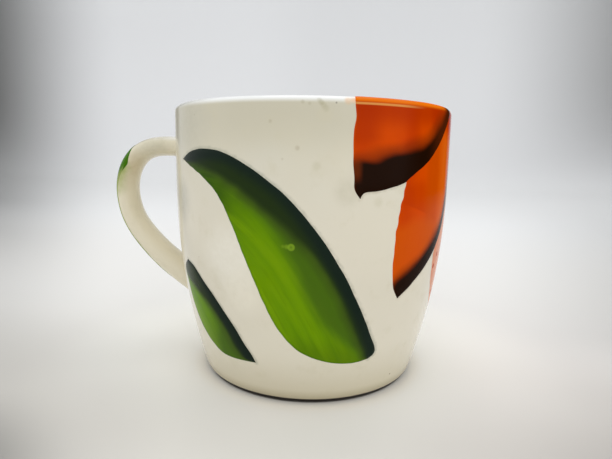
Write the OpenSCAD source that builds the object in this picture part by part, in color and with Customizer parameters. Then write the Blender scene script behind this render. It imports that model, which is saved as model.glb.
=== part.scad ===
// A glazed stoneware mug with a hand-painted flower, filled with tea.
// The mug's axis is Z and the table is at Z = 0. The handle points along -X, and -Y is the front.

/* [Mug] */
// Height from the table to the top of the lip
mug_h = 85; // [76:1:110]
// Outer diameter of the straight upper wall
rim_d = 88.4; // [82:0.2:98]
// Diameter that the curved wall would reach at the table
base_d = 69.4; // [60:0.2:76]
// Height where the wall stops curving and runs straight up
curve_h = 61; // [48:1:66]
// Thickness of the wall and of its rounded lip
wall_t = 3.8; // [2.6:0.1:5]
// Thickness of the floor
floor_t = 4.4; // [3:0.1:7]
// Radius of the corner inside, between the floor and the wall
bowl_corner_r = 13; // [6:0.5:18]
// Radius of the heel, where the wall turns under
heel_r = 2; // [1:0.1:4]

/* [Foot] */
// Distance from the end of the heel's curve in to the bare ring that the mug stands on
foot_inset = 0.4; // [0.2:0.1:2]
// Width of the ring
foot_w = 3.6; // [2.4:0.1:6]
// Height of the bare ring under the glazed heel
foot_h = 0.8; // [0.5:0.1:2]
// Depth of the glazed hollow above the ring's top
recess_h = 1.4; // [0.5:0.1:3]

/* [Handle] */
// How far the handle stands out from the wall
handle_out = 27; // [22:0.5:36]
// Distance from the top of the lip down to the middle of the strap's upper end
handle_drop = 12.2; // [8:0.2:20]
// Height of the middle of the strap where its lower end meets the wall
handle_low = 24.4; // [18:0.2:32]
// Thickness of the strap
strap_t = 6.8; // [5:0.1:9]
// Width of the strap
strap_w = 10.4; // [8:0.1:14]
// Thickness of the strap near its lower end
tail_t = 9.2; // [6:0.1:11]
// Width of the strap near its lower end
tail_w = 12.4; // [9:0.1:15]
// Radius of the spread where the strap meets the wall
spread_r = 2; // [1:0.1:3.5]
// Thickness of the slip that holds each end of the strap to the wall
slip_t = 0.8; // [0.4:0.1:1.4]

/* [Tea] */
// Depth of the tea's surface below the top of the lip
tea_gap = 12; // [8:0.5:30]

/* [Painted colours] */
// Thickness of the painted colour
paint_t = 0.16; // [0.1:0.02:0.3]

/* [Hidden] */

glaze_cream = [0.90, 0.88, 0.80];
bare_clay = [0.72, 0.62, 0.48];
tea_brown = [0.50, 0.20, 0.05];
leaf_green = [0.38, 0.56, 0.08];
petal_orange = [0.80, 0.30, 0.02];

// Facets of the revolved shapes and of the long, flat arcs of the wall
$fn = 128;
arc_fn = 720;
// One length by which cuts run past the solids they cut
overrun = 5;

rim_r = rim_d / 2;
base_r = base_d / 2;
lip_r = wall_t / 2;
lip_z = mug_h - lip_r;
bowl_z = foot_h + recess_h + floor_t;
tea_top = mug_h - tea_gap;
handle_top = mug_h - handle_drop;

// The wall is an arc that leaves the table at base_r and stands upright at curve_h
curve_r = (pow(rim_r - base_r, 2) + pow(curve_h, 2)) / (2 * (rim_r - base_r));
curve_x = rim_r - curve_r;
function wall_r(z) = z >= curve_h ? rim_r : curve_x + sqrt(pow(curve_r, 2) - pow(curve_h - z, 2));

// Centre of a round corner of radius r that touches the level z and an arc about the wall's centre
function corner_x(arc_r, r, z) = curve_x + sqrt(pow(arc_r - r, 2) - pow(curve_h - z - r, 2));
foot_r = corner_x(curve_r, heel_r, foot_h) - foot_inset;

// Half section of a bowl: from the axis out to an arc of radius arc_r, then straight up to top
module bowl_section(arc_r, corner_r, low, top) {
    cx = corner_x(arc_r, corner_r, low);
    cz = low + corner_r;
    touch_z = curve_h + (cz - curve_h) * arc_r / (arc_r - corner_r);
    translate([0, low]) square([cx, touch_z - low]);
    intersection() {
        translate([cx, cz]) circle(corner_r);
        translate([cx, low]) square([corner_r, touch_z - low]);
    }
    intersection() {
        translate([curve_x, curve_h]) circle(arc_r, $fn = arc_fn);
        translate([0, touch_z]) square([rim_d, top - touch_z]);
    }
    translate([0, curve_h]) square([curve_x + arc_r, top - curve_h]);
}

// Half section of the mug's outer shape grown by t, with the rounded lip on top where it is asked for
module outer_section(t, with_lip) {
    bowl_section(curve_r + t, heel_r, foot_h, lip_z);
    if (with_lip) translate([rim_r - lip_r, lip_z]) circle(lip_r + t);
}

// A skin of thickness t on the outside of the wall. Where it is asked for, it goes over the lip as well and
// ends past the lip's crest, a share of the lip's radius further in.
past_crest_share = 0.5;
module wall_skin(t, over_lip) {
    rotate_extrude() difference() {
        outer_section(t, over_lip);
        outer_section(0, over_lip);
        translate([0, curve_h]) square([rim_r - lip_r * (1 + past_crest_share), mug_h]);
    }
}

module mug_body() {
    color(glaze_cream) rotate_extrude() difference() {
        outer_section(0, true);
        bowl_section(curve_r - wall_t, bowl_corner_r, bowl_z, lip_z);
        square([foot_r - foot_w, foot_h + recess_h]);
    }
}

module foot_ring() {
    color(bare_clay) difference() {
        cylinder(h = foot_h, r = foot_r);
        translate([0, 0, -overrun]) cylinder(h = foot_h + 2 * overrun, r = foot_r - foot_w);
    }
}

module tea() {
    color(tea_brown) rotate_extrude() intersection() {
        bowl_section(curve_r - wall_t, bowl_corner_r, bowl_z, mug_h);
        square([rim_d, tea_top]);
    }
}

// A smooth curve through a list of points, with steps parts between each two
function between(a, b, c, d, t) =
    (2 * b + (c - a) * t + (2 * a - 5 * b + 4 * c - d) * t * t + (3 * b - a - 3 * c + d) * t * t * t) / 2;
function curve(p, steps) = let (n = len(p) - 1) [
    for (i = [0:n - 1], j = [0:steps - (i < n - 1 ? 1 : 0)])
        between(p[max(i - 1, 0)], p[i], p[i + 1], p[min(i + 2, n)], j / steps)
];

// Middle line of the strap, from its upper end to its lower end. Each row is a share of the way from the
// wall out to the farthest point, and a share of the way from handle_low up to handle_top.
strap_shares = [
    [-0.15, 0.985], [0.1, 0.995], [0.35, 1], [0.58, 0.985], [0.78, 0.935], [0.93, 0.84], [1, 0.715],
    [0.985, 0.585], [0.9, 0.46], [0.73, 0.335], [0.49, 0.205], [0.24, 0.095], [0, 0], [-0.22, -0.09]
];
strap_steps = 4;
strap_sides = 20;
strap_far = rim_r + handle_out - strap_t / 2;
strap_line = [
    for (s = curve(strap_shares, strap_steps))
        let (z = handle_low + s[1] * (handle_top - handle_low), r = wall_r(z)) [r + s[0] * (strap_far - r), z]
];
strap_last = len(strap_line) - 1;

function unit(v) = v / norm(v);
function strap_way(i) = unit(strap_line[min(i + 1, strap_last)] - strap_line[max(i - 1, 0)]);
function ease(t) = let (c = min(max(t, 0), 1)) c * c * (3 - 2 * c);
// How far ring i has changed from the strap's own section to that of its tail
tail_start_share = 0.5;
function tail(i) = ease((i / strap_last - tail_start_share) / (1 - tail_start_share));
// Extra half width of ring i where the strap spreads onto the slip
function spread(i) = let (
    off = strap_line[i][0] - wall_r(strap_line[i][1]) - slip_t,
    left = min(max(spread_r - off, 0), spread_r)
) spread_r - sqrt(pow(spread_r, 2) - pow(left, 2));
function half_t(i) = (strap_t + (tail_t - strap_t) * tail(i)) / 2 + spread(i);
function half_w(i) = (strap_w + (tail_w - strap_w) * tail(i)) / 2 + spread(i);

// Point of the strap's surface on ring i, at the angle a from its outer face, lifted by h
function strap_point(i, a, h) = let (
    way = strap_way(i),
    in_plane = (half_t(i) + h) * cos(a),
    c = strap_line[i]
) [-(c[0] - way[1] * in_plane), (half_w(i) + h) * sin(a), c[1] + way[0] * in_plane];

// The whole strap, grown by h all round
module strap(h) {
    rings = [
        for (i = [0:strap_last], k = [0:strap_sides - 1]) strap_point(i, k * 360 / strap_sides, h)
    ];
    sides = [
        for (i = [0:strap_last - 1], k = [0:strap_sides - 1])
            let (a = i * strap_sides, n = (k + 1) % strap_sides)
                [a + k, a + strap_sides + k, a + strap_sides + n, a + n]
    ];
    first = [for (k = [0:strap_sides - 1]) k];
    last = [for (k = [strap_sides - 1:-1:0]) strap_last * strap_sides + k];
    polyhedron(rings, concat(sides, [first, last]));
}

module handle() {
    color(glaze_cream) difference() {
        strap(0);
        rotate_extrude() bowl_section(curve_r + slip_t, heel_r, foot_h, mug_h);
    }
}

// The layer of slip under the strap's end that lies between the levels low and top
module slip(low, top) {
    intersection() {
        wall_skin(slip_t, false);
        strap(0);
        translate([-rim_d, -rim_r, low]) cube([rim_d, rim_d, top - low]);
    }
}

strap_mid = (handle_low + handle_top) / 2;
module upper_slip_joint() {
    color(glaze_cream) slip(strap_mid, mug_h);
}

module lower_slip_joint() {
    color(glaze_cream) slip(foot_h, strap_mid);
}

// Rows of a stroke, from tip to tip: angle from the front and share of the mug's height for its dark edge, and
// the same for its light edge
large_leaf_shares = [
    [-47, 0.81, -47, 0.81], [-40, 0.835, -41, 0.79], [-31, 0.845, -32, 0.755], [-20, 0.83, -24, 0.7],
    [-8, 0.776, -18, 0.61], [3, 0.7, -14, 0.525], [13, 0.595, -10, 0.44], [21.5, 0.48, -6, 0.355],
    [29, 0.36, -1.5, 0.28], [35, 0.26, 6, 0.21], [38.5, 0.205, 17, 0.17], [38.5, 0.18, 28, 0.157],
    [36, 0.165, 36, 0.165]
];
small_leaf_shares = [
    [-48.5, 0.46, -48.5, 0.46], [-42, 0.445, -54.5, 0.42], [-36, 0.405, -53, 0.365],
    [-30, 0.36, -51, 0.31], [-25, 0.31, -48, 0.26], [-20.5, 0.26, -43.5, 0.21], [-17, 0.21, -37, 0.168],
    [-14, 0.172, -29, 0.142], [-12.5, 0.145, -12.5, 0.145]
];
upper_petal_shares = [
    [26.3, 0.703, 26.3, 0.703], [28, 0.722, 24.3, 0.735], [33, 0.727, 23.6, 0.8],
    [38.5, 0.737, 23.3, 0.87], [44, 0.752, 23.8, 0.94], [50, 0.78, 24.4, 1.03], [57, 0.817, 33, 1.03],
    [64, 0.868, 45, 1.03], [70.5, 0.925, 58, 1.03], [76, 0.975, 70, 1.03], [79.5, 1.03, 79.5, 1.03]
];
middle_petal_shares = [
    [45.6, 0.372, 45.6, 0.372], [49.5, 0.393, 42.8, 0.41], [55, 0.426, 41.3, 0.47],
    [61.5, 0.467, 41, 0.55], [68, 0.515, 41.5, 0.63], [74, 0.575, 43, 0.7], [79, 0.645, 44.8, 0.77],
    [83.5, 0.725, 47, 0.86], [86.5, 0.8, 49.3, 0.95], [88.7, 0.88, 52, 1.03], [89.8, 0.96, 70, 1.03],
    [90, 1.03, 90, 1.03]
];
end_petal_shares = [
    [90, 0.245, 90, 0.245], [98, 0.27, 82, 0.27], [104.5, 0.32, 75.5, 0.32], [109, 0.385, 71, 0.385],
    [111.5, 0.45, 68.5, 0.45], [112, 0.52, 68, 0.52], [108, 0.63, 72, 0.63], [101, 0.78, 79, 0.78],
    [90, 0.97, 90, 0.97]
];
stroke_steps = 4;

function middle_angle(rows) = (min([for (r = rows) r[2]]) + max([for (r = rows) r[0]])) / 2;

// Outline of a stroke, out along its dark edge and back along its light edge, as seen from straight in front
// of its middle
function outline(rows) = let (
    mid = middle_angle(rows),
    out = curve([for (r = rows) [r[0], r[1]]], stroke_steps),
    back = curve([for (r = rows) [r[2], r[3]]], stroke_steps)
) [
    for (q = concat(out, [for (i = [len(back) - 2:-1:1]) back[i]]))
        let (z = q[1] * mug_h) [wall_r(z) * sin(q[0] - mid), z]
];

// Everything behind a stroke's outline, from the mug's axis outwards
module behind(rows) {
    rotate([0, 0, middle_angle(rows)]) rotate([90, 0, 0])
        linear_extrude(rim_r + overrun) polygon(outline(rows));
}

// One brush stroke on the wall. Children are cut out of it.
module stroke(rows, tint, over_lip) {
    color(tint) difference() {
        intersection() {
            wall_skin(paint_t, over_lip);
            behind(rows);
        }
        children();
    }
}

module large_leaf() {
    stroke(large_leaf_shares, leaf_green, false);
}

module small_leaf() {
    stroke(small_leaf_shares, leaf_green, false);
}

module upper_petal() {
    stroke(upper_petal_shares, petal_orange, true);
}

module middle_petal() {
    stroke(middle_petal_shares, petal_orange, true) behind(upper_petal_shares);
}

module end_petal() {
    stroke(end_petal_shares, petal_orange, false) {
        behind(middle_petal_shares);
        mirror([0, 1, 0]) behind(middle_petal_shares);
    }
}

module far_large_leaf() {
    mirror([0, 1, 0]) large_leaf();
}

module far_small_leaf() {
    mirror([0, 1, 0]) small_leaf();
}

module far_upper_petal() {
    mirror([0, 1, 0]) upper_petal();
}

module far_middle_petal() {
    mirror([0, 1, 0]) middle_petal();
}

// Inner edge of the green stroke on the strap. Each row is a share of the strap's length, and how far out
// from the strap's middle line the edge lies, as a share of its half thickness.
handle_stroke_shares = [
    [0.27, 1.2], [0.31, 0.55], [0.35, -0.05], [0.38, -0.1], [0.42, 0.2], [0.47, 0.42], [0.56, 0.48],
    [0.7, 0.52], [0.82, 0.65], [0.9, 1.2]
];
outside_share = 1.3;
module handle_stroke() {
    last = len(handle_stroke_shares) - 1;
    run = [
        for (i = [0:strap_last])
            if (i / strap_last > handle_stroke_shares[0][0] && i / strap_last < handle_stroke_shares[last][0]) i
    ];
    function place(i, share) = let (
        way = strap_way(i),
        off = share * half_t(i),
        c = strap_line[i]
    ) [-(c[0] - way[1] * off), c[1] + way[0] * off];
    inner = [for (i = run) place(i, lookup(i / strap_last, handle_stroke_shares))];
    outer = [for (k = [len(run) - 1:-1:0]) place(run[k], outside_share)];
    color(leaf_green) difference() {
        intersection() {
            strap(paint_t);
            translate([0, strap_w, 0]) rotate([90, 0, 0])
                linear_extrude(2 * strap_w) polygon(concat(inner, outer));
        }
        strap(0);
    }
}

mug_body();
foot_ring();
handle();
upper_slip_joint();
lower_slip_joint();
tea();
large_leaf();
small_leaf();
upper_petal();
middle_petal();
end_petal();
handle_stroke();
far_large_leaf();
far_small_leaf();
far_upper_petal();
far_middle_petal();
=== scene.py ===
# %% [markdown]
# # A hand-painted mug of tea
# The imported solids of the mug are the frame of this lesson: they say where everything is. Each of them gets
# the skin that the real one has: poured glaze, brushed colour, bare clay and tea.
# The mug's axis is Z, the table is at Z = 0, the handle points along -X and the viewer stands at -Y.

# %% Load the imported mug
import math

import bmesh
import bpy
import numpy as np
from mathutils import Matrix


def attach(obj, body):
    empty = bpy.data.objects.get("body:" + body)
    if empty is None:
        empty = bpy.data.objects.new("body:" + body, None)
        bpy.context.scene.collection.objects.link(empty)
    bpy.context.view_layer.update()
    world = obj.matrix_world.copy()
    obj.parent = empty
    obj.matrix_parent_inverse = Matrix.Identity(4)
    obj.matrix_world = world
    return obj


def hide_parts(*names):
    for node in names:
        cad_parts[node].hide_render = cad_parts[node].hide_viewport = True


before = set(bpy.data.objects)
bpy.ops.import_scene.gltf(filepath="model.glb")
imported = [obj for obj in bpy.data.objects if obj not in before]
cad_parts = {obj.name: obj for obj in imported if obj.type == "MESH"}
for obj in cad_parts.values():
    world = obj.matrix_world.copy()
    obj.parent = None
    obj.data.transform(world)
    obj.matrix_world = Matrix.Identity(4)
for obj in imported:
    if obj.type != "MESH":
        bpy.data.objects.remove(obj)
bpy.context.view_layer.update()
print("solids:", ", ".join(sorted(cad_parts)))

# %% [markdown]
# ## The wall as a formula
# A potter turns the wall on a wheel, so one curve spun about the axis gives all of it. The lower wall is a
# long arc, the upper wall is straight, and the lip is half a circle. Everything painted on the mug lies on
# this wall, so it is written once, as a function of the turn round the axis and the height up the wall.
# Numbers are millimetres and degrees until a mesh is made.

# %% Sizes of the mug
MUG_H, RIM_R, BASE_R, CURVE_H = 85.0, 44.2, 34.7, 61.0
WALL_T, FLOOR_T, BOWL_CORNER_R, HEEL_R = 3.8, 4.4, 13.0, 2.0
FOOT_H, FOOT_W, FOOT_INSET, RECESS_H, TEA_TOP = 0.8, 3.6, 0.4, 1.4, 73.0
BOWL_R = RIM_R - WALL_T
LIP_R = WALL_T / 2
LIP_Z = MUG_H - LIP_R
LIP_RUN = 0.894  # radians that a stroke runs over the lip for each lip radius of height
SWELL = 0.012  # the reach of each of the glaze's four waves, in mm
SUNK = 0.12  # how deep in the wall a coat of paint has its back
BOWL_Z = FOOT_H + RECESS_H + FLOOR_T
ARC_R = ((RIM_R - BASE_R) ** 2 + CURVE_H ** 2) / (2 * (RIM_R - BASE_R))
ARC_X = RIM_R - ARC_R
HEEL_X = ARC_X + math.sqrt((ARC_R - HEEL_R) ** 2 - (CURVE_H - FOOT_H - HEEL_R) ** 2)
FOOT_R = HEEL_X - FOOT_INSET
print(f"the wall is an arc of radius {ARC_R:.1f} mm; the foot's radius is {FOOT_R:.1f} mm")


# %% The wall and the lip
def wall_radius(z):
    """Radius at height z: the arc's centre plus the root of (its radius squared minus the drop squared)."""
    drop = np.maximum(CURVE_H - np.asarray(z, float), 0)
    return ARC_X + np.sqrt(ARC_R ** 2 - drop ** 2)


def glaze_swell(turn, height):
    """How far poured glaze falls short of the true wall: the sum of four low sine waves, less 4."""
    a = np.radians(turn)
    waves = (np.sin(3 * a + 0.07 * height + 0.6) + np.sin(5 * a - 0.11 * height + 2.1)
             + np.sin(8 * a + 0.16 * height + 4.0) + np.sin(0.23 * height + 2 * a))
    return SWELL * (waves - 4)


def outer_point(turn, height, lift=0.0):
    """Point of the outside at a turn from the front and a height, pushed out along the normal by lift.

    Below LIP_Z the height is z. Above it, the height runs over the lip's half circle, from 0 to 180 degrees.
    """
    turn, height, lift = np.broadcast_arrays(turn, height, lift)
    z = np.minimum(height, LIP_Z)
    on_lip = np.clip((height - LIP_Z) * LIP_RUN / LIP_R, 0, math.pi)
    radius = wall_radius(z)
    lean = np.where(z < CURVE_H, (z - CURVE_H) / ARC_R, 0.0)
    out_r, out_z = np.sqrt(1 - lean ** 2), lean
    over = height > LIP_Z
    out_r, out_z = np.where(over, np.cos(on_lip), out_r), np.where(over, np.sin(on_lip), out_z)
    radius = np.where(over, RIM_R - LIP_R + LIP_R * np.cos(on_lip), radius)
    z = np.where(over, LIP_Z + LIP_R * np.sin(on_lip), z)
    push = lift + glaze_swell(turn, height) * np.clip((LIP_Z - height) / 4 + 1, 0, 1)
    radius, z = radius + out_r * push, z + out_z * push
    a = np.radians(turn)
    return np.stack([radius * np.sin(a), -radius * np.cos(a), z], -1)


print("a point on the front at mid height:", outer_point(0, 42).round(2))

# %% [markdown]
# ## From a grid of points to a mesh
# Every new piece is a grid of points worked out at once, and one helper turns such a grid into a mesh. It
# makes the quads by adding whole rows of numbers, closes seams and poles by merging points that coincide,
# and turns the faces outwards if the volume comes out negative.


# %% The mesh maker
WELD_M, SLIVER_M, SHARP_DEG = 2e-7, 1e-8, 50


def added(name, data):
    """A new object in the scene for a mesh, lamp or camera."""
    made = bpy.data.objects.new(name, data)
    bpy.context.scene.collection.objects.link(made)
    return made


def make_piece(name, grids, marks=None):
    """Joins grids of points in mm, each (points, rows closed, columns closed), into one piece in metres."""
    points, quads, start = [], [], 0
    for grid, rows_closed, columns_closed in grids:
        n, m = grid.shape[:2]
        index = start + np.arange(n * m).reshape(n, m)
        if rows_closed:
            index = np.vstack([index, index[:1]])
        if columns_closed:
            index = np.hstack([index, index[:, :1]])
        corners = index[:-1, :-1], index[1:, :-1], index[1:, 1:], index[:-1, 1:]
        faces = np.stack(corners, -1).reshape(-1, 4)
        flat = grid.reshape(-1, 3)
        a, b, c, d = (flat[faces[:, k] - start] for k in range(4))
        volume = np.einsum("ij,ij->i", a, np.cross(b, c) + np.cross(c, d)).sum()
        if volume < 0:
            faces = faces[:, ::-1]
        points.append(flat)
        quads.append(faces)
        start += n * m
    points, quads = np.concatenate(points) / 1000, np.concatenate(quads)

    mesh = bpy.data.meshes.new(name)
    mesh.vertices.add(len(points))
    mesh.vertices.foreach_set("co", points.ravel())
    mesh.loops.add(quads.size)
    mesh.loops.foreach_set("vertex_index", quads.ravel())
    mesh.polygons.add(len(quads))
    mesh.polygons.foreach_set("loop_start", np.arange(len(quads)) * 4)
    mesh.update(calc_edges=True)
    for mark, values in (marks or {}).items():
        layer = mesh.attributes.new(mark, "FLOAT", "POINT")
        layer.data.foreach_set("value", np.asarray(values, np.float32).ravel())

    shell = bmesh.new()
    shell.from_mesh(mesh)
    bmesh.ops.remove_doubles(shell, verts=shell.verts, dist=WELD_M)
    bmesh.ops.dissolve_degenerate(shell, edges=shell.edges, dist=SLIVER_M)
    shell.to_mesh(mesh)
    open_edges = sum(len(edge.link_faces) != 2 for edge in shell.edges)
    shell.free()
    mesh.polygons.foreach_set("use_smooth", np.ones(len(mesh.polygons), bool))
    mesh.set_sharp_from_angle(angle=math.radians(SHARP_DEG))
    mesh.update()
    print(f"{name}: {len(mesh.polygons)} faces, {open_edges} open edges")
    return added(name, mesh)


def spin(profile, turns):
    """Carries a profile of (radius, z) round the axis: x = radius times sine, y = -radius times cosine."""
    a = np.radians(turns)[None, :]
    radius, z = profile[:, :1], profile[:, 1:2]
    return np.stack([radius * np.sin(a), -radius * np.cos(a), z + 0 * a], -1)


def arc(x, z, r, start, end, count):
    """Points (x + r cos, z + r sin) from the angle start to the angle end, in degrees."""
    a = np.radians(np.linspace(start, end, count))
    return np.column_stack([x + r * np.cos(a), z + r * np.sin(a)])


# %% [markdown]
# ## Node maths that reads like sums
# A finish is a small program: masks are added, multiplied and turned round, and they choose between colours.
# Wiring such sums by hand hides what they say. A Wire stands for one number on its way through the
# material, and a sum written on it adds the Math node. A Finish adds every other node.


# %% One number in a material
class Wire:
    """A number that flows through a finish. A sum on it adds a Math node and gives the next Wire."""

    def __init__(self, finish, socket):
        self.finish, self.socket = finish, socket

    def maths(self, operation, first, second):
        """A Math node of two numbers."""
        return self.finish.node("Math", {"operation": operation}, {0: first, 1: second})

    def also(self, output):
        """Another output of the node that this number comes from."""
        return Wire(self.finish, self.socket.node.outputs[output])

    def __abs__(self):
        return self.finish.node("Math", {"operation": "ABSOLUTE"}, {0: self})

    def __add__(self, other):
        return self.maths("ADD", self, other)

    def __sub__(self, other):
        return self.maths("SUBTRACT", self, other)

    def __rsub__(self, other):
        return self.maths("SUBTRACT", other, self)

    def __mul__(self, other):
        return self.maths("MULTIPLY", self, other)

    def __truediv__(self, other):
        return self.maths("DIVIDE", self, other)

    __radd__, __rmul__ = __add__, __mul__


# %% A material that is being mixed
def srgb(red, green, blue):
    """A colour as a painter reads it, 0 to 255, turned into the linear numbers that a shader wants."""
    c = np.array([red, green, blue]) / 255
    return (*np.where(c <= 0.04045, c / 12.92, ((c + 0.055) / 1.055) ** 2.4), 1.0)


class Finish:
    """A material being mixed. node() adds any node; the other calls are short names for a few of them."""

    def __init__(self, name):
        self.material = bpy.data.materials.new(name)
        self.material.use_nodes = True
        self.tree = self.material.node_tree
        self.shader = self.tree.nodes["Principled BSDF"]

    def node(self, kind, settings=None, values=None, out=0):
        """Adds a node with its settings, feeds its inputs and gives one output."""
        made = self.tree.nodes.new("ShaderNode" + kind)
        for key, value in (settings or {}).items():
            setattr(made, key, value)
        self.feed(made, values or {})
        return Wire(self, made.outputs[out])

    def feed(self, node, values):
        """Links each Wire to its input and sets each plain number."""
        for key, value in values.items():
            if isinstance(value, Wire):
                self.tree.links.new(value.socket, node.inputs[key])
            else:
                node.inputs[key].default_value = value

    def place(self):
        """The point on the piece in mm, from Object coordinates."""
        at = self.node("TexCoord", out="Object")
        return self.node("VectorMath", {"operation": "SCALE"}, {0: at, "Scale": 1000.0})

    def part(self, at, axis):
        """The x, y or z of a point."""
        return self.node("SeparateXYZ", None, {0: at}, out=axis)

    def mark(self, name):
        """A number that the points of the mesh carry."""
        return self.node("Attribute", {"attribute_name": name}, out="Fac")

    def noise(self, at, width, detail=2.0, roughness=0.5):
        """Clouds about width mm wide, from 0 to 1."""
        values = {"Vector": at, "Scale": 1 / width, "Detail": detail, "Roughness": roughness}
        return self.node("TexNoise", None, values)

    def step(self, value, low, high):
        """0 at low, 1 at high, with soft ends; low may be the larger."""
        return self.node("MapRange", {"interpolation_type": "SMOOTHSTEP"}, {0: value, 1: low, 2: high})

    def mix(self, mask, colour, other):
        """The colour where the mask is 0, the other where it is 1."""
        return self.node("Mix", {"data_type": "RGBA"}, {0: mask, 6: colour, 7: other}, out=2)

    def lay(self, mask, tone, under=None):
        """Lays a tone where the mask is 1 over the colour so far, which the first call takes from under."""
        tone, under = (srgb(*c) if isinstance(c, tuple) else c for c in (tone, under or self.colour))
        self.colour = self.mix(mask, under, tone)

    def spot(self, at, point, inner, outer):
        """1 within inner mm of a point and 0 beyond outer mm."""
        ends = {0: at, 1: tuple(map(float, point))}
        return self.step(self.node("VectorMath", {"operation": "DISTANCE"}, ends, out="Value"), outer, inner)

    def relief(self, height):
        """Bump from a height in mm."""
        return self.node("Bump", None, {"Strength": 1.0, "Distance": 0.001, "Height": height})

    def finished(self, **values):
        """Feeds the shader the colour and the other values, whose names have _ for a space."""
        self.feed(self.shader, {"Base Color": self.colour})
        self.feed(self.shader, {key.replace("_", " "): value for key, value in values.items()})
        print(f"{self.material.name}: {len(self.tree.nodes)} nodes")
        return self.material


def dress(piece, material, slot, *nodes):
    """Gives a piece its finish, lets it ride on the mug and stand for its solids."""
    piece.data.materials.append(material)
    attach(piece, "root")
    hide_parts(*nodes)
    return piece


# %% [markdown]
# ## The brush strokes
# The flower was painted freehand with a loaded brush: one side of the brush held green or orange, the other
# side a blue-black or a brown, so each stroke has a dark edge that melts into its colour. Such a stroke could
# be painted in a picture, but pigment lies on the wall as a thin raised coat with its own outline, so
# each one is a thin piece of its own. A stroke is a table of rows from tip to tip. A row says where
# the dark edge and the light edge are, as a turn and a share of the mug's height, and then how far across the
# dark colour and the middle tone reach.

# %% Rows of the strokes
STROKES = {
    "large_leaf": [
        [-47, 0.81, -47, 0.81, 1, 1.1], [-40, 0.835, -41, 0.79, 0.74, 0.95],
        [-31, 0.845, -32, 0.755, 0.64, 0.85], [-20, 0.83, -24, 0.7, 0.53, 0.7],
        [-8, 0.776, -18, 0.61, 0.4, 0.54], [3, 0.7, -14, 0.525, 0.31, 0.46],
        [13, 0.595, -10, 0.44, 0.22, 0.47], [21.5, 0.48, -6, 0.355, 0.16, 0.51],
        [29, 0.36, -1.5, 0.28, 0.155, 0.5], [35, 0.26, 6, 0.21, 0.18, 0.42],
        [38.5, 0.205, 17, 0.17, 0.23, 0.36], [38.5, 0.18, 28, 0.157, 0.34, 0.42],
        [36, 0.165, 36, 0.165, 0.4, 0.5]],
    "small_leaf": [
        [-48.5, 0.46, -48.5, 0.46, 1.1, 1.3], [-42, 0.445, -54.5, 0.42, 0.95, 1.1],
        [-36, 0.405, -53, 0.365, 0.56, 0.72], [-30, 0.36, -51, 0.31, 0.33, 0.47],
        [-25, 0.31, -48, 0.26, 0.23, 0.42], [-20.5, 0.26, -43.5, 0.21, 0.22, 0.49],
        [-17, 0.21, -37, 0.168, 0.28, 0.78], [-14, 0.172, -29, 0.142, 0.33, 1.1],
        [-12.5, 0.145, -12.5, 0.145, 0.5, 1.1]],
    "upper_petal": [
        [26.3, 0.703, 26.3, 0.703, 1.2, 1.3], [28, 0.722, 24.3, 0.735, 1.2, 1.3],
        [33, 0.727, 23.6, 0.8, 1.05, 1.2], [38.5, 0.737, 23.3, 0.87, 0.6, 0.76],
        [44, 0.752, 23.8, 0.94, 0.45, 0.57], [50, 0.78, 24.4, 1.03, 0.25, 0.34],
        [57, 0.817, 33, 1.03, 0.22, 0.32], [64, 0.868, 45, 1.03, 0.22, 0.35],
        [70.5, 0.925, 58, 1.03, 0.36, 0.5], [76, 0.975, 70, 1.03, 0.6, 0.75],
        [79.5, 1.03, 79.5, 1.03, 0.8, 0.9]],
    "middle_petal": [
        [45.6, 0.372, 45.6, 0.372, 1.2, 1.3], [49.5, 0.393, 42.8, 0.41, 1.05, 1.2],
        [55, 0.426, 41.3, 0.47, 0.58, 0.72], [61.5, 0.467, 41, 0.55, 0.34, 0.43],
        [68, 0.515, 41.5, 0.63, 0.21, 0.28], [74, 0.575, 43, 0.7, 0.16, 0.22],
        [79, 0.645, 44.8, 0.77, 0.13, 0.18], [83.5, 0.725, 47, 0.86, 0.12, 0.17],
        [86.5, 0.8, 49.3, 0.95, 0.12, 0.17], [88.7, 0.88, 52, 1.03, 0.12, 0.17],
        [89.8, 0.96, 70, 1.03, 0.25, 0.35], [90, 1.03, 90, 1.03, 0.3, 0.4]],
    "end_petal": [
        [90, 0.245, 90, 0.245, 0.5, 0.6], [98, 0.27, 82, 0.27, 0.4, 0.5],
        [104.5, 0.32, 75.5, 0.32, 0.25, 0.33], [109, 0.385, 71, 0.385, 0.2, 0.27],
        [111.5, 0.45, 68.5, 0.45, 0.17, 0.23], [112, 0.52, 68, 0.52, 0.17, 0.23],
        [108, 0.63, 72, 0.63, 0.2, 0.28], [101, 0.78, 79, 0.78, 0.3, 0.4], [90, 0.97, 90, 0.97, 0.5, 0.6]],
}


def smooth_rows(rows, steps):
    """A curve through every row: between two rows it is the cubic whose slopes come from their neighbours."""
    p = np.asarray(rows, float)
    p = np.vstack([p[:1], p, p[-1:]])
    a, b, c, d = p[:-3, None], p[1:-2, None], p[2:-1, None], p[3:, None]
    t = (np.arange(steps) / steps)[None, :, None]
    square, cube = 2 * a - 5 * b + 4 * c - d, 3 * b - a - 3 * c + d
    curve = (2 * b + (c - a) * t + square * t ** 2 + cube * t ** 3) / 2
    return np.vstack([curve.reshape(-1, p.shape[1]), p[-1:]])


def unsteady(run, seed, width):
    """A hand's small shakes along a line: a sum of sines of unlike widths, mostly between -1 and 1."""
    rng = np.random.default_rng(seed)
    widths, starts = width * rng.uniform(0.5, 1.9, 6), rng.uniform(0, 2 * np.pi, 6)
    return np.sin(2 * np.pi * np.asarray(run)[..., None] / widths + starts).sum(-1) / 2.6


def unrolled(turn, height):
    """The wall laid flat, in mm: the turn becomes an arc's length at that height."""
    return np.stack([np.radians(turn) * wall_radius(np.minimum(height, LIP_Z)), height + 0 * turn], -1)


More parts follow.
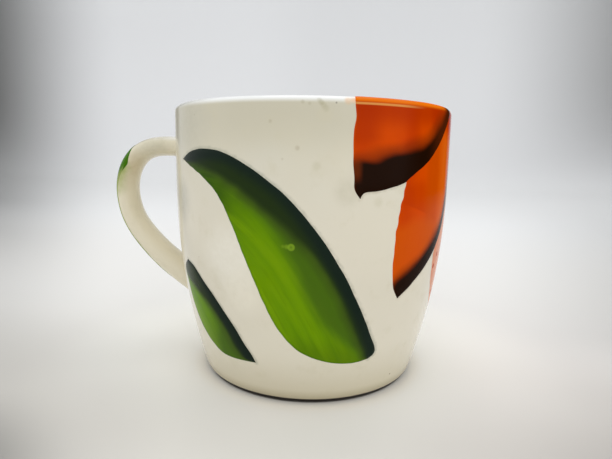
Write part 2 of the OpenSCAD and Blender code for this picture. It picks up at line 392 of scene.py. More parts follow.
def nearest(points, line):
    """Distance from every point of a grid to the closest point of a line, both laid flat."""
    return np.sqrt(((points[..., None, :] - line) ** 2).sum(-1).min(-1))


print("strokes:", ", ".join(STROKES))


# %% From rows to a stroke's grid
def stroke_grid(rows, seed, shake_light, shake_dark, across=72, steps=14):
    """Turn, height and marks over a stroke: in each row a straight blend from dark edge to light edge."""
    line = smooth_rows(rows, steps)
    line[:, [1, 3]] *= MUG_H
    s = 0.5 - 0.5 * np.cos(np.linspace(0, np.pi, across + 1))[None, :]
    dark, light = unrolled(line[:, 0], line[:, 1]), unrolled(line[:, 2], line[:, 3])
    width = np.linalg.norm(light - dark, axis=1)[:, None]
    middle = (dark + light) / 2
    along = np.concatenate([[0], np.cumsum(np.linalg.norm(np.diff(middle, axis=0), axis=1))])[:, None]
    small = np.minimum(width / 4, 1) / np.maximum(width, 1)
    s = s + (shake_light * unsteady(along, seed, 5) * s ** 4
             - shake_dark * unsteady(along, seed + 1, 6) * (1 - s) ** 4) * small
    turn = line[:, 0:1] + (line[:, 2:3] - line[:, 0:1]) * s
    height = line[:, 1:2] + (line[:, 3:4] - line[:, 1:2]) * s
    flat = unrolled(turn, height)
    edge = nearest(flat, np.concatenate([flat[:, 0], flat[:, -1]]))
    marks = {
        "edge_mm": edge,
        "dark_mm": (s - line[:, 4:5]) * np.maximum(width, 4),
        "middle_mm": (s - line[:, 5:6]) * np.maximum(width, 4),
        "across_mm": s * width,
        "along_mm": along + 0 * s,
        "turn_deg": turn,
    }
    return turn, height, marks


def coat_lift(thick, edge, soft):
    """Height of a coat over the wall: thick times (1 - exp(-edge / soft)), less a hair to sink its edge."""
    return thick * (1 - np.exp(-edge / soft)) - 0.012


def coat_piece(name, front, back, marks):
    """A closed thin coat from the grid of its front and that of its back, which lies in the clay."""
    marks = {mark: np.concatenate([v, v[:, ::-1]], 1) for mark, v in marks.items()}
    return make_piece(name, [(np.concatenate([front, back[:, ::-1]], 1), False, True)], marks)


def stroke_piece(name, rows, seed, thick, shakes, lead=0, bead=None, far=False):
    """A stroke on the wall; it may carry a bead of paint, and the far side has its mirror image."""
    turn, height, marks = stroke_grid(rows, seed, *shakes)
    marks["along_mm"] = marks["along_mm"] + lead
    lift = coat_lift(thick, marks["edge_mm"], 0.4)
    if bead is not None:
        away = np.linalg.norm(unrolled(turn, height) - unrolled(*map(np.array, bead)), axis=-1)
        lift = lift + 0.16 * np.exp(-(away / 0.75) ** 2)
    mirror = np.array([1, -1 if far else 1, 1])
    front, back = outer_point(turn, height, lift), outer_point(turn, height, -SUNK)
    return coat_piece(name, front * mirror, back * mirror, marks)


# %% [markdown]
# ## The cream glaze
# The mug was dipped in a glossy cream glaze over pale clay. It is never one colour: it pools a little warmer
# towards the foot, ends there in a brown edge, thins to near white on the lip, shows specks and stains, and
# beside each dark edge the pigment has bled into it as a faint haze. Painted light and shade are laid on it
# too: darker towards the top and lighter lower down, a painted highlight on the lip and along the handle's
# top, painted shade just above the heel, the brown edge deepened into the shadow where the heel meets the
# table, and a few patches of painted shade on the wall and the handle. An image could hold this, but masks
# from the place on the piece and from the distance to the nearest dark edge stay sharp at any size.


# %% Mixing the glaze
def radius_of(finish, at):
    """How far a point is from the mug's axis: the length of (x, y, 0)."""
    level = finish.node("VectorMath", {"operation": "MULTIPLY"}, {0: at, 1: (1, 1, 0)})
    return finish.node("VectorMath", {"operation": "LENGTH"}, {0: level}, out="Value")


def cream_glaze(name, painted=False, stains_and_shade=(), pale=0.0):
    """Cream glaze with patches (point, size, strength, tone) of stain and painted shade; a painted one has a
    haze beside the paint and painted shade at the foot, a pale one is lighter with a painted highlight along
    its top.
    """
    glaze = Finish(name)
    at = glaze.place()
    height = glaze.part(at, "Z")
    clouds, mottles, grain = glaze.noise(at, 30, 2), glaze.noise(at, 7, 4, 0.6), glaze.noise(at, 1.6, 2)
    glaze.lay(glaze.step(clouds, 0.36, 0.64), (223, 219, 202), under=(219, 213, 191))
    # painted shade: the glaze is painted lighter lower down and darker towards the top
    glaze.lay(glaze.step(height + (clouds - 0.5) * 20, 76, 50) * 0.9, (230, 224, 206))
    glaze.lay(glaze.step(height + (clouds - 0.5) * 10, 68, 80) * 0.8, (206, 201, 180))
    if pale:
        glaze.lay(pale, (233, 225, 200))
    glaze.lay(glaze.step(mottles, 0.52, 0.74) * 0.35, (212, 205, 178))
    glaze.lay(glaze.step(height, 19, 0.8) * 0.6, (196, 186, 156))
    # the lip's crest: partly thinner glaze, partly a painted highlight from the light above
    glaze.lay(glaze.step(height, 83.0, 84.5), (246, 248, 246))
    cells = glaze.node("TexVoronoi", None, {"Vector": at, "Scale": 1 / 8.5})
    rare = glaze.node("SeparateColor", None, {0: cells.also("Color")})
    specks = glaze.step(cells, 0.036, 0.014) * glaze.step(rare, 0.8, 0.84)
    glaze.lay(specks * 0.3, (140, 124, 90))
    if painted:
        tide = glaze.step(height, TEA_TOP + 2.2, TEA_TOP + 0.9) * glaze.step(height, TEA_TOP - 2, TEA_TOP - 1)
        tide = tide * glaze.step(radius_of(glaze, at), BOWL_R + 1.2, BOWL_R + 0.4)
        glaze.lay(tide * (0.15 + 0.5 * mottles), (176, 132, 76))
        leaf, petal = glaze.mark("leaf_gap_mm"), glaze.mark("petal_gap_mm")
        wander = (grain - 0.5) * 0.9
        glaze.lay(glaze.step(leaf + wander, 1.1, -0.2) * 0.5, (112, 124, 100))
        glaze.lay(glaze.step(petal + wander, 0.9, -0.2) * 0.4, (142, 122, 92))
        # painted shade in the last few millimetres above the heel, then the brown glaze edge, painted dark
        # also as the shadow where the heel meets the table
        glaze.lay(glaze.step(height, 5.0, 1.7) * 0.5, (160, 148, 114))
        glaze.lay(glaze.step(height, 1.85, 1.3) * 0.97, (38, 26, 14))
    # painted highlight along the top of the handle
    if pale:
        glaze.lay(glaze.step(height, 74.2, 75.7) * 0.85, (246, 245, 240))
    # stains, and patches of painted shade, from the tables
    for point, size, strength, tone in stains_and_shade:
        glaze.lay(glaze.spot(at, point, size * 0.2, size) * strength * (0.5 + grain), tone)
    pits = glaze.step(cells, 0.07, 0.015) * glaze.step(rare, 0.3, 0.26)
    skin = (clouds - 0.5) * 0.25 + (mottles - 0.5) * 0.035 + grain * 0.004 - pits * 0.02
    return glaze.finished(Roughness=0.09 + 0.1 * mottles, IOR=1.5, Specular_IOR_Level=0.4,
                          Normal=glaze.relief(skin))


# turn, height, size, strength and tone of each speck, stain and patch on the wall; the two wide pale patches
# make the cream between the leaves lighter, and the grey patches at turns -44 and -50 are painted shade
WALL_STAINS_AND_SHADE = [
    (12, 83.9, 0.9, 0.32, (160, 155, 112)), (12.7, 83.2, 1, 0.34, (158, 152, 108)),
    (13.4, 82.5, 1.1, 0.28, (168, 162, 120)), (14.2, 81.8, 1.2, 0.24, (174, 168, 126)),
    (21.4, 84, 1.5, 0.5, (236, 186, 128)), (23.2, 84.2, 1.3, 0.6, (238, 176, 104)),
    (17.4, 83.2, 0.35, 0.7, (106, 102, 88)), (6.8, 83.3, 0.7, 0.3, (164, 156, 120)),
    (9, 82.9, 0.6, 0.25, (170, 162, 128)), (5.3, 72.2, 0.9, 0.35, (168, 154, 120)),
    (-3.6, 78.6, 0.7, 0.3, (170, 160, 128)), (11.5, 68, 1.6, 0.2, (180, 174, 134)),
    (52.8, 5.9, 0.4, 0.8, (110, 90, 62)), (33, 59, 2, 0.18, (182, 176, 134)),
    (0.5, 69.5, 0.5, 0.22, (166, 152, 120)), (-19.5, 43, 13, 0.55, (246, 243, 230)),
    (-15, 33.5, 9, 0.5, (246, 241, 224)), (-44, 79, 16, 0.4, (186, 183, 164)),
    (-50, 57, 9, 0.5, (176, 174, 158)), (22, 61.5, 5, 0.35, (196, 190, 166)),
]


def stains_and_shade_on(surface, rows):
    """Stains and patches of painted shade from rows of two numbers for the place on a surface, a size, a
    strength and a tone.
    """
    return [(surface(u, v), *stain) for u, v, *stain in rows]


cream = cream_glaze("cream glaze")
wall_cream = cream_glaze("cream glaze of the wall", True, stains_and_shade_on(outer_point, WALL_STAINS_AND_SHADE))

# %% [markdown]
# ## The body
# Clay thrown or cast in one piece: the wall, its floor, the lip and the heel that it stands on. The profile
# could be a curve with a Screw modifier. Here it is a grid, so that each point of the wall can
# also carry how far it is from the nearest dark edge, which is what the bleeding haze needs.

# %% The body's profile
turns = np.arange(320) * 360 / 320 - 180
heel_end = math.degrees(math.atan2(FOOT_H + HEEL_R - CURVE_H, HEEL_X - ARC_X))
inner_r = ARC_R - WALL_T
bowl_x = ARC_X + math.sqrt((inner_r - BOWL_CORNER_R) ** 2 - (CURVE_H - BOWL_Z - BOWL_CORNER_R) ** 2)
bowl_end = math.degrees(math.atan2(BOWL_Z + BOWL_CORNER_R - CURVE_H, bowl_x - ARC_X))
inside = FOOT_R - FOOT_W
under = np.vstack([
    np.column_stack([np.linspace(0, inside - 0.7, 14), np.full(14, FOOT_H + RECESS_H)]),
    arc(inside - 0.7, FOOT_H + RECESS_H - 0.7, 0.7, 90, 0, 6)[1:],
    [[inside, FOOT_H + 0.25], [inside + 0.07, FOOT_H + 0.07], [inside + 0.25, FOOT_H]],
    np.column_stack([np.linspace(inside + 0.6, HEEL_X, 8), np.full(8, FOOT_H)]),
    arc(HEEL_X, FOOT_H + HEEL_R, HEEL_R, -90, heel_end, 14)[1:-1],
])
wall_heights = np.concatenate([
    np.linspace(CURVE_H + ARC_R * math.sin(math.radians(heel_end)), LIP_Z, 110),
    np.linspace(LIP_Z, LIP_Z + math.pi * LIP_R / LIP_RUN, 26)[1:],
])
bowl_low = CURVE_H + inner_r * math.sin(math.radians(bowl_end))
inner_z = np.linspace(LIP_Z, bowl_low, 48)[1:]
inner_wall = ARC_X + np.sqrt(inner_r ** 2 - np.maximum(CURVE_H - inner_z, 0) ** 2)
bowl = np.vstack([
    np.column_stack([inner_wall, inner_z]),
    arc(bowl_x, BOWL_Z + BOWL_CORNER_R, BOWL_CORNER_R, bowl_end, -90, 14)[1:],
    np.column_stack([np.linspace(bowl_x, 0, 14)[1:], np.full(13, BOWL_Z)]),
])
print(f"profile: {len(under)} points below, {len(wall_heights)} outside, {len(bowl)} inside")

# %% The wall, its gaps to the paint, and the piece
wall = outer_point(turns[None, :], wall_heights[:, None])
fade = np.clip((wall_heights - wall_heights[0]) / 6, 0, 1)[:, None, None]
still = spin(np.column_stack([wall_radius(wall_heights), wall_heights]), turns)
wall = still + (wall - still) * fade
flat_wall = np.stack(np.broadcast_arrays(turns[None, :], wall_heights[:, None]), -1)
REACH = 6.0  # how far from a dark edge the marks count, in mm


def gap_to(names):
    """Distance in mm from each point of the wall, laid flat, to the nearest dark edge of some strokes."""
    gap = np.full(flat_wall.shape[:2], REACH)
    for rows in (np.array(STROKES[name]) for name in names):
        line = smooth_rows(rows, 10)[:, :2] * [1, MUG_H]
        for turn in (line[:, 0], 180 - line[:, 0]):
            apart = (flat_wall[..., None, 0] - turn + 180) % 360 - 180
            across = np.radians(apart) * wall_radius(np.minimum(line[:, 1], LIP_Z))
            gap = np.minimum(gap, np.sqrt(across ** 2 + (flat_wall[..., None, 1] - line[:, 1]) ** 2).min(-1))
    return gap


gaps = {
    "leaf_gap_mm": gap_to(["large_leaf", "small_leaf"]),
    "petal_gap_mm": gap_to(["upper_petal", "middle_petal", "end_petal"]),
}
below, within = (np.full((len(part), len(turns)), REACH) for part in (under, bowl))
marks = {mark: np.vstack([below, gap, within]) for mark, gap in gaps.items()}
grid = np.concatenate([spin(under, turns), wall, spin(bowl, turns)])
dress(make_piece("mug_wall", [(grid, False, True)], marks), wall_cream, "cream_glaze", "mug_body")

# %% [markdown]
# ## The bare foot
# The foot was wiped clean of glaze before firing, or the mug would have stuck to the kiln shelf. What shows
# is rough clay, browned at its outer edge, which is also painted near black as the shadow where it meets the
# table. It is a ring with small rounded edges that wanders a little, because a sponge did the wiping.


# %% The foot's clay and its ring
def bare_clay():
    """Rough clay with darker clouds; its outer edge is browned, and painted near black as the shadow where it
    meets the table.
    """
    clay = Finish("bare clay")
    at = clay.place()
    grit, clouds = clay.noise(at, 0.5, 3, 0.7), clay.noise(at, 9, 2)
    radius = radius_of(clay, at)
    clay.lay(clay.step(grit, 0.35, 0.65), (163, 141, 106), under=(134, 112, 80))
    clay.lay(clay.step(clouds, 0.45, 0.7) * 0.5, (120, 96, 64))
    # the ring's outer edge: browned clay, painted near black as the contact shadow
    clay.lay(clay.step(radius, FOOT_R - 0.7, FOOT_R - 0.15) * 0.95, (34, 23, 12))
    return clay.finished(Roughness=0.7 + 0.25 * grit, Normal=clay.relief(grit * 0.06))


ring_turns = np.arange(256) * 360 / 256
high, edge = FOOT_H + 0.05, 0.22
loop = np.vstack([
    arc(FOOT_R - edge, edge, edge, -90, 0, 5),
    [[FOOT_R, high]], [[inside, high]],
    arc(inside + edge, edge, edge, 180, 270, 5),
    np.column_stack([np.linspace(inside + 0.6, FOOT_R - 0.6, 7), np.zeros(7)]),
])
ring = spin(loop, ring_turns)
ring[..., :2] *= (1 - 0.0016 * (1 + unsteady(ring_turns * 0.58, 11, 9.0)))[None, :, None]
dress(make_piece("foot_clay", [(ring, True, True)]), bare_clay(), "bare_clay", "foot_ring")

# %% [markdown]
# ## The handle
# A pulled strap of clay, pressed on at both ends with liquid clay. Its middle line is a smooth curve through
# a few points that are given as shares of the way out from the wall and up the handle, and its section is an
# ellipse that grows towards the tail. Close to the wall the surface flares by a quarter circle, measured
# from each point's own distance to the wall, so the spread follows the round wall by itself.

# %% The strap as a formula
HANDLE_OUT, HANDLE_TOP, HANDLE_LOW, SLIP_T, SPREAD_R = 27.0, 72.8, 24.4, 0.8, 2.6
STRAP_SHARES = [
    [-0.15, 0.985], [0.1, 0.995], [0.35, 1], [0.58, 0.985], [0.78, 0.935], [0.93, 0.84], [1, 0.715],
    [0.985, 0.585], [0.9, 0.46], [0.73, 0.335], [0.49, 0.205], [0.24, 0.095], [0, 0], [-0.22, -0.09]]
HALF_T, HALF_W, TAIL_HALF_T, TAIL_HALF_W = 3.4, 5.2, 4.6, 6.2
line = smooth_rows(STRAP_SHARES, 24)
line_z = HANDLE_LOW + line[:, 1] * (HANDLE_TOP - HANDLE_LOW)
line_r = wall_radius(line_z) + line[:, 0] * (RIM_R + HANDLE_OUT - HALF_T - wall_radius(line_z))
line_t = np.linspace(0, 1, len(line))
way = np.gradient(np.column_stack([line_r, line_z]), axis=0)
way /= np.linalg.norm(way, axis=1)[:, None]


def off_wall(points):
    """How far points are from the wall's outside, measured level."""
    return np.hypot(points[..., 0], points[..., 1]) - wall_radius(points[..., 2])


def strap_point(t, angle, lift=0.0):
    """Point of the strap: the middle line, plus half thickness times cosine along the normal, plus half width
    times sine across it, both grown by the flare R - root(R squared - (R - distance) squared) and by lift."""
    t, angle, lift = np.broadcast_arrays(t, angle, lift)
    r, z, way_r, way_z = (np.interp(t, line_t, v) for v in (line_r, line_z, way[:, 0], way[:, 1]))
    tail = np.clip((t - 0.5) / 0.5, 0, 1)
    tail = tail * tail * (3 - 2 * tail)
    half_t, half_w = HALF_T + (TAIL_HALF_T - HALF_T) * tail, HALF_W + (TAIL_HALF_W - HALF_W) * tail
    a = np.radians(angle)

    def at(grow):
        out, side = (half_t + grow) * np.cos(a), (half_w + grow) * np.sin(a)
        return np.stack([-(r - way_z * out), side, z + way_r * out], -1)

    left = np.clip(SPREAD_R - off_wall(at(0)), 0, SPREAD_R)
    return at(SPREAD_R - np.sqrt(SPREAD_R ** 2 - left ** 2) + lift)


around = np.arange(112) * 360 / 112
fine = np.linspace(0, 1, 1601)
away = off_wall(strap_point(fine[:, None], around[None, :]))


def crossing(level, upper):
    """For each angle, the t where the strap's surface is level mm off the wall, at its upper or lower end."""
    half = len(fine) // 3
    part = slice(0, half) if upper else slice(len(fine) - 1, len(fine) - half, -1)
    step = np.maximum(np.argmax(away[part] > level, axis=0), 1)
    columns = np.arange(len(around))
    a, b = away[part][step - 1, columns], away[part][step, columns]
    share = np.clip((level - a) / (b - a), 0, 1)
    return fine[part][step - 1] + share * (fine[part][step] - fine[part][step - 1])


top_t, low_t = crossing(SLIP_T, True), crossing(SLIP_T, False)
print("the strap leaves the slip at t", top_t.min().round(3), "and meets it again at", low_t.max().round(3))

# %% The strap and its two joints
v = np.linspace(0, 1, 280)[:, None]
strap = strap_point(top_t + v * (low_t - top_t), around[None, :])


def shrunk(ring, share):
    """A ring of points drawn in towards its middle."""
    middle = ring.mean(0)
    return middle + (ring - middle) * share


caps = [np.stack([shrunk(end, s) for s in shares]) for end, shares in
        ((strap[0], (0, 0.5, 0.9)), (strap[-1], (0.9, 0.5, 0)))]
strap = np.concatenate([caps[0], strap, caps[1]])
# the same for the strap: the share of its run, the angle round it, size, strength and tone; the first three
# brownish patches are painted shade on the strap's inner side near its top bend, the next is a duller cream
# patch and the last three are the green wash of the leaf
STRAP_SHADE_AND_WASH = [
    (0.34, -115, 7.5, 0.4, (196, 178, 140)), (0.4, -125, 8, 0.3, (200, 184, 146)),
    (0.15, -80, 3, 0.2, (190, 178, 140)), (0.2, -30, 12, 0.8, (206, 200, 176)),
    (0.39, -66, 4.5, 0.9, (166, 176, 106)), (0.43, -60, 4.5, 0.8, (170, 178, 110)),
    (0.47, -58, 5, 0.6, (180, 186, 122)),
]
strap_cream = cream_glaze("cream glaze of the handle", stains_and_shade=stains_and_shade_on(strap_point, STRAP_SHADE_AND_WASH), pale=0.95)
dress(make_piece("handle_strap", [(strap, False, True)]), strap_cream, "cream_glaze", "handle")

for name, upper in (("upper_slip_joint", True), ("lower_slip_joint", False)):
    levels = np.linspace(SLIP_T, -0.5, 12)
    rings = np.stack([strap_point(crossing(level, upper), around) for level in levels])
    rings = np.concatenate([rings, [shrunk(rings[-1], 0.75), shrunk(rings[0], 0.75)]])
    dress(make_piece(name.replace("joint", "collar"), [(rings, True, True)]), cream, "cream_glaze", name)

# %% [markdown]
# ## The tea
# A liquid at rest is flat, but it climbs the glazed wall by about a millimetre, and pouring leaves a few
# bubbles at the edge. Strong tea in a pale mug looks darkest in the middle and glows amber where the wall
# shines through the thin edge.


# %% Tea and bubbles
def tea_finish():
    """Strong tea: dark in the middle, amber where it is shallow, and clearest at the wall."""
    tea = Finish("tea")
    at = tea.place()
    radius = radius_of(tea, at)
    drift = tea.noise(at, 22, 2)
    tea.lay(tea.step(radius + (drift - 0.5) * 6, 18, 39.5), (150, 66, 14), under=(104, 38, 8))
    tea.lay(tea.step(radius, BOWL_R - 1.4, BOWL_R), (206, 134, 52))
    return tea.finished(Roughness=0.03 + 0.03 * drift, IOR=1.33, Normal=tea.relief((drift - 0.5) * 0.08))


CLIMB = 0.9  # how high the tea climbs the wall, and how fast the climb fades, in mm
tea_turns = np.arange(224) * 360 / 224
climb_r = BOWL_R - np.array([0.0, 0.12, 0.28, 0.5, 0.8, 1.2, 1.7, 2.4, 3.4, 5, 7.5, 11, 16, 22, 29, 35, 40.4])
surface = np.column_stack([climb_r, TEA_TOP + CLIMB * np.exp(-(BOWL_R - climb_r) / CLIMB)])
deep_z = np.linspace(bowl_low, TEA_TOP - 0.5, 20)
deep = np.column_stack([ARC_X + np.sqrt(inner_r ** 2 - np.maximum(CURVE_H - deep_z, 0) ** 2), deep_z])
tea_loop = np.vstack([
    [[0, BOWL_Z]], arc(bowl_x, BOWL_Z + BOWL_CORNER_R, BOWL_CORNER_R, -90, bowl_end, 10)[:-1], deep, surface])
tea_loop[:, 0] = np.maximum(tea_loop[:, 0] - 0.01, 0)
tea_material = tea_finish()
dress(make_piece("tea_pour", [(spin(tea_loop, tea_turns), False, True)]), tea_material, "tea", "tea")


def bubble(turn, radius, size):
    """A low dome on the tea with a flat back: a ball's cap, as rings round its own axis."""
    rise = np.radians(np.linspace(90, -20, 9))[:, None]
    a = np.radians(np.arange(20) * 18)[None, :]
    x = radius * math.sin(math.radians(turn)) + size * np.cos(rise) * np.cos(a)
    y = -radius * math.cos(math.radians(turn)) + size * np.cos(rise) * np.sin(a)
    z = TEA_TOP + 0.55 * size * (np.sin(rise) + 0 * a) + 0.5 * math.exp(-(BOWL_R - radius) / CLIMB)
    grid = np.stack([x, y, z], -1)
    return np.concatenate([grid, grid.mean((0, 1))[None, None] + 0 * grid[-1:]])


rng = np.random.default_rng(5)
cluster = np.concatenate([rng.normal(205, 9, 9), rng.normal(312, 5, 5), rng.uniform(0, 360, 4)])
sizes = rng.uniform(0.35, 1.05, len(cluster))
bubbles = [(bubble(turn, BOWL_R - 0.2 - size - rng.uniform(0, 0.7), size), False, True)
           for turn, size in zip(cluster, sizes)]
froth = make_piece("tea_bubbles", bubbles)
froth.data.materials.append(tea_material)
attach(froth, "root")

# %% [markdown]
# ## Green and orange
# Both colours are brushed, so their grain runs along the stroke: hairs leave fine streaks, and where the
# brush was loaded thickly the colour is deeper. The marks on each stroke give the shader the run along it and
# the way across it, and noise stretched along the run makes the streaks. The dark side is the other half of
# the brush's load. It fades through a middle tone, never in a straight line. On the petals, upright bands of
# deeper and lighter orange stand partly for brush overlap and partly for painted reflections of upright
# strips in the room, the lighter orange towards their right edge is painted reflection, and the light orange
# and yellow line on the lip are painted highlights. Where the petals turn away, what the room held left next
# to no reflection on them, so their sheen fades by the turn and the height.


# %% The leaves' colour
BEAD = (3.7, 47.3)  # the turn and height of a bead of paint that ran together


def leaf_green(name, washed=0.0):
    """Green with a dark side. washed says how thin its edges are, where the cream shines through."""
    leaf = Finish(name)
    at, across, along = leaf.place(), leaf.mark("across_mm"), leaf.mark("along_mm")
    dark, middle, edge = leaf.mark("dark_mm"), leaf.mark("middle_mm"), leaf.mark("edge_mm")
    run = leaf.node("CombineXYZ", None, {0: across, 1: along * 0.06, 2: 0.0})
    hairs, streaks, clouds = leaf.noise(run, 1.2, 3, 0.6), leaf.noise(run, 4.2, 1), leaf.noise(at, 10, 2)
    loaded = leaf.step(along + (clouds - 0.5) * 14, 14, 34)
    leaf.lay(loaded, (100, 143, 0), under=(50, 82, 4))
    leaf.lay(leaf.step(streaks, 0.42, 0.66) * 0.55 * loaded, (126, 164, 0))
    leaf.lay(leaf.step(hairs, 0.5, 0.66) * 0.34, (84, 124, 0))
    leaf.lay(leaf.step(hairs, 0.46, 0.34) * 0.3 * loaded, (122, 158, 6))
    height = leaf.part(at, "Z")
    leaf.lay(leaf.step(height + (streaks - 0.5) * 14, 24, 15) * 0.6, (82, 114, 2))
    loose = middle + (streaks - 0.5) * 2.4 + (clouds - 0.5) * 2.6
    leaf.lay(leaf.step(loose, 2.0, -3.0) * 0.9, (68, 100, 18))
    loose = dark + (streaks - 0.5) * 1.6 + (clouds - 0.5) * 1.8
    leaf.lay(leaf.step(loose, 3.2, -0.2) * 0.75, (54, 70, 24))
    leaf.lay(leaf.step(loose, 1.3, -1.2), (34, 50, 20))
    blue = leaf.step(across + (streaks - 0.5) * 3 - loose * 0.3, 4.6, 2.2) * leaf.step(dark, 0.6, -0.8)
    leaf.lay(blue, (22, 36, 28))
    rim = leaf.step(edge + (hairs - 0.5) * 0.4, 0.9, 0.1) * leaf.step(dark, 0.5, 2.5)
    leaf.lay(rim * 0.35, (48, 92, 0))
    # the lighter green ring round the bead is a painted highlight on its rim; the tail spots beside it are
    # lighter green
    bead = outer_point(*BEAD)
    ring = leaf.spot(at, bead, 0.75, 1.15) * (1 - 0.6 * leaf.spot(at, bead, 0.1, 0.6))
    tail = (leaf.spot(at, outer_point(2.2, 47.4), 0.2, 0.9)
            + 0.7 * leaf.spot(at, outer_point(0.9, 47.45), 0.1, 0.7))
    leaf.lay(tail * 0.6, (130, 166, 36))
    leaf.lay(ring * 0.7, (132, 168, 40))
    if washed:
        leaf.lay(leaf.step(along, 52, 40) * 0.8, (46, 104, 2))
        ragged = along + (hairs - 0.5) * 12 + (streaks - 0.5) * 6
        thin = leaf.step(ragged, 37, 41) * leaf.step(edge + (streaks - 0.5) * 2, 3.2, 0.8)
        leaf.lay(thin * washed, (160, 170, 100))
    ridges = (hairs - 0.5) * 0.02 + (clouds - 0.5) * 0.05
    return leaf.finished(Roughness=0.1 + 0.1 * hairs, IOR=1.5, Specular_IOR_Level=0.06,
                         Normal=leaf.relief(ridges))


# %% The petals' colour
DROPS = [(73.1, 41.6), (70.5, 38.2), (75.8, 29.2), (86, 44), (98, 34)]  # turns and heights


def petal_orange(name, washed=0.0):
    """Orange with a dark side. washed says how much the cream shines through, and adds a few drops."""
    petal = Finish(name)
    at, turn = petal.place(), petal.mark("turn_deg")
    dark, middle, edge = petal.mark("dark_mm"), petal.mark("middle_mm"), petal.mark("edge_mm")
    height = petal.part(at, "Z")
    down = petal.node("CombineXYZ", None, {0: turn * 0.7, 1: height * 0.07, 2: 0.0})
    hairs, bands, clouds = petal.noise(down, 1.3, 3, 0.6), petal.noise(down, 7.0, 0), petal.noise(at, 11, 2)
    # upright bands of deeper and lighter orange: partly brush overlap, partly painted reflections of upright
    # strips in the room
    petal.lay(petal.step(bands * 0.7 + clouds * 0.3, 0.38, 0.6), (213, 73, 0), under=(194, 57, 0))
    petal.lay(petal.step(height + (clouds - 0.5) * 6, 55, 51), (212, 83, 4))
    petal.lay(petal.step(hairs, 0.5, 0.8) * 0.2, (200, 66, 0))
    petal.lay(petal.step(height, 76, 82) * 0.65, (170, 42, 0))
    petal.lay(petal.step(turn, 36, 29) * petal.step(height, 71, 76) * 0.6, (176, 48, 0))
    second_coat = petal.step(height - abs(turn - 57) * 0.25, 54.6, 55.4) * petal.step(turn, 64, 61)
    petal.lay(second_coat * petal.step(height, 66, 62) * 0.5, (188, 54, 0))
    # painted reflection: lighter orange towards the petals' right edge, where they turn away
    petal.lay(petal.step(turn, 52, 60) * petal.step(height, 80, 74) * 0.6, (206, 84, 0))
    petal.lay(petal.step(turn, 63, 71) * petal.step(height, 80, 74) * 0.4, (230, 118, 30))
    # on the lip: lighter orange on the crest, partly thinner paint and partly a painted highlight, and a
    # yellow line below it, a painted highlight
    petal.lay(petal.step(height, 83.3, 84.3) * 0.85, (242, 124, 18))
    line = petal.step(height, 82.9, 83.2) * petal.step(height, 83.75, 83.4) * petal.step(turn, 54, 40)
    petal.lay(line * 0.6, (242, 184, 100))
    loose = middle + (bands - 0.5) * 3.0 + (clouds - 0.5) * 1.5
    petal.lay(petal.step(loose, 2.0, -2.0) * 0.7, (122, 42, 6))
    loose = dark + (bands - 0.5) * 2.2 + (clouds - 0.5) * 1.2
    sides = petal.step(turn, 27.4, 25) * petal.step(height, 63, 66.5)
    sides = sides + petal.step(turn, 54, 66) * petal.step(height, 64, 70) * 0.55
    brown = petal.mix(sides, srgb(30, 13, 4), srgb(96, 38, 9))
    petal.lay(petal.step(loose, 1.4, -1.6), brown)
    rim = petal.step(edge + (hairs - 0.5) * 0.3, 0.6, 0.05) * petal.step(dark, 0.5, 2.5)
    petal.lay(rim * 0.35, (216, 92, 0))
    if washed:
        petal.lay(washed, (228, 178, 152))
        for place in DROPS:
            petal.lay(petal.spot(at, outer_point(*place), 0.5, 1.1) * 0.95, (186, 62, 14))
    ridges = (hairs - 0.5) * 0.015 + (clouds - 0.5) * 0.05
    thin_glaze = petal.step(turn, 38, 52) * petal.step(turn, 78, 73) * petal.step(height, 52, 62)
    sheen = 0.03 - thin_glaze * 0.03
    return petal.finished(Roughness=0.07 + 0.08 * hairs, IOR=1.5, Specular_IOR_Level=sheen,
                          Normal=petal.relief(ridges))


greens, oranges = leaf_green("leaf colour"), petal_orange("petal colour")
thin_orange = petal_orange("petal colour laid thin", washed=0.55)

# %% The strokes on the wall, near and far
# seed, thickness, shakes of the two edges, start of the run, bead, colour and slot
PAINT = {
    "large_leaf": (3, 0.13, (0.05, 0.03), 0, BEAD, greens, "leaf_paint"),
    "small_leaf": (7, 0.13, (0.05, 0.03), 22, None, greens, "leaf_paint"),
    "upper_petal": (12, 0.15, (0.16, 0.04), 0, None, oranges, "petal_paint"),
    "middle_petal": (17, 0.1, (0.16, 0.04), 0, None, oranges, "petal_paint"),
    "end_petal": (23, 0.07, (0.1, 0.05), 0, None, thin_orange, "petal_paint"),
}
for name, (seed, thick, shakes, lead, bead, colour, slot) in PAINT.items():
    near = stroke_piece(name + "_stroke", STROKES[name], seed, thick, shakes, lead, bead)
    dress(near, colour, slot, name)
    if name != "end_petal":
        far = stroke_piece(f"far_{name}_stroke", STROKES[name], seed + 50, thick, shakes, lead, None, True)
        dress(far, colour, slot, "far_" + name)

# %% [markdown]
# ## The stroke on the handle
# The painter ran one leaf over the outside of the strap. It could be a strip with a Shrinkwrap modifier. The
# strap's own formula, lifted by the coat's thickness, lies close at every bend, between angles that open and
# close along the strap.

